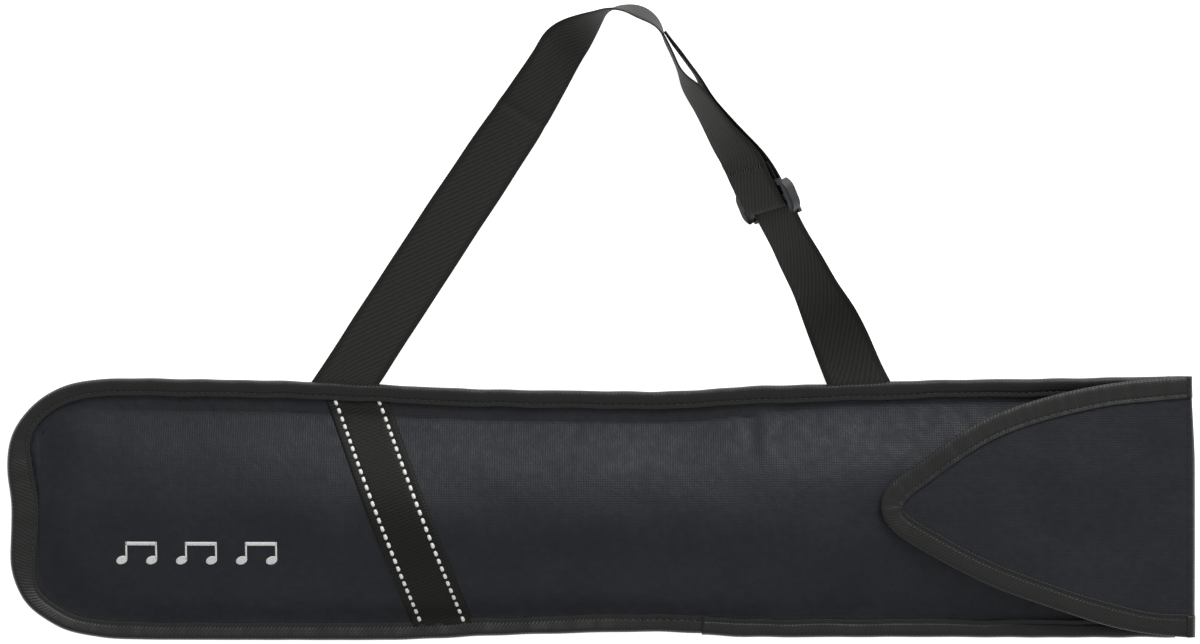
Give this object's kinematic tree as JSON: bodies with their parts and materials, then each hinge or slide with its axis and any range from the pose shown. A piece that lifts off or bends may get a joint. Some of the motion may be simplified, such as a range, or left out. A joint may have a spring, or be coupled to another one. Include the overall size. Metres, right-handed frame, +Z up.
{
  "type": "music stand bag",
  "caption": "Long flat padded music stand bag in black woven polyester with taped edges, a rounded end flap, a slanted white-stitched webbing band and an adjustable shoulder strap.",
  "frame": {"origin": "on the resting face, under the middle of the bag", "axes": "+X along the bag from the closed end to the mouth, +Y towards the strap, +Z up out of the bag's front"},
  "size_m": [0.5943, 0.3189, 0.0354],
  "materials": {
    "shell_fabric": "coated woven polyester, plain weave, dull",
    "lining_fabric": "thin nylon lining",
    "padding": "closed-cell foam sheet",
    "binding_tape": "ribbed polyester binding tape",
    "webbing": "ribbed polypropylene webbing, slight sheen",
    "white_thread": "thick white polyester thread",
    "black_thread": "bonded polyester thread",
    "white_print": "screen print",
    "hook_and_loop": "hook-and-loop tape",
    "slider_plastic": "moulded acetal, satin"
  },
  "bodies": {
    "bag": {"back_panel_outer": "shell_fabric", "back_panel_foam": "padding", "back_panel_lining": "lining_fabric", "front_panel_outer": "shell_fabric", "front_panel_foam": "padding", "front_panel_lining": "lining_fabric", "edge_binding": "binding_tape", "edge_binding_tail": "binding_tape", "mouth_binding": "binding_tape", "accent_webbing": "webbing", "accent_stitches": "white_thread", "printed_mark": "white_print", "loop_patch": "hook_and_loop", "flap_fold": "shell_fabric"},
    "flap": {"flap_outer": "shell_fabric", "flap_stiffener": "padding", "flap_lining": "lining_fabric", "flap_binding": "binding_tape", "hook_patch": "hook_and_loop"},
    "strap": {"strap_upper": "webbing", "strap_lower": "webbing"},
    "slider": {"strap_slider": "slider_plastic", "slider_loop": "webbing", "loop_tack": "black_thread"}
  },
  "joints": [
    {"name": "flap_hinge", "type": "hinge", "parent": "bag", "child": "flap", "pos_m": [0.2902, 0, 0.0068], "axis": [0, 1, 0], "range_deg": [0, 160], "deforming": ["flap_fold"]},
    {"name": "strap_swing", "type": "hinge", "parent": "bag", "child": "strap", "pos_m": [0, 0.0652, 0.0034], "axis": [1, 0, 0], "range_deg": [0, 110]},
    {"name": "slider_slide", "type": "slide", "parent": "strap", "child": "slider", "axis": [0.4714, -0.8819, 0], "range_m": [0, 0.012]}
  ]
}
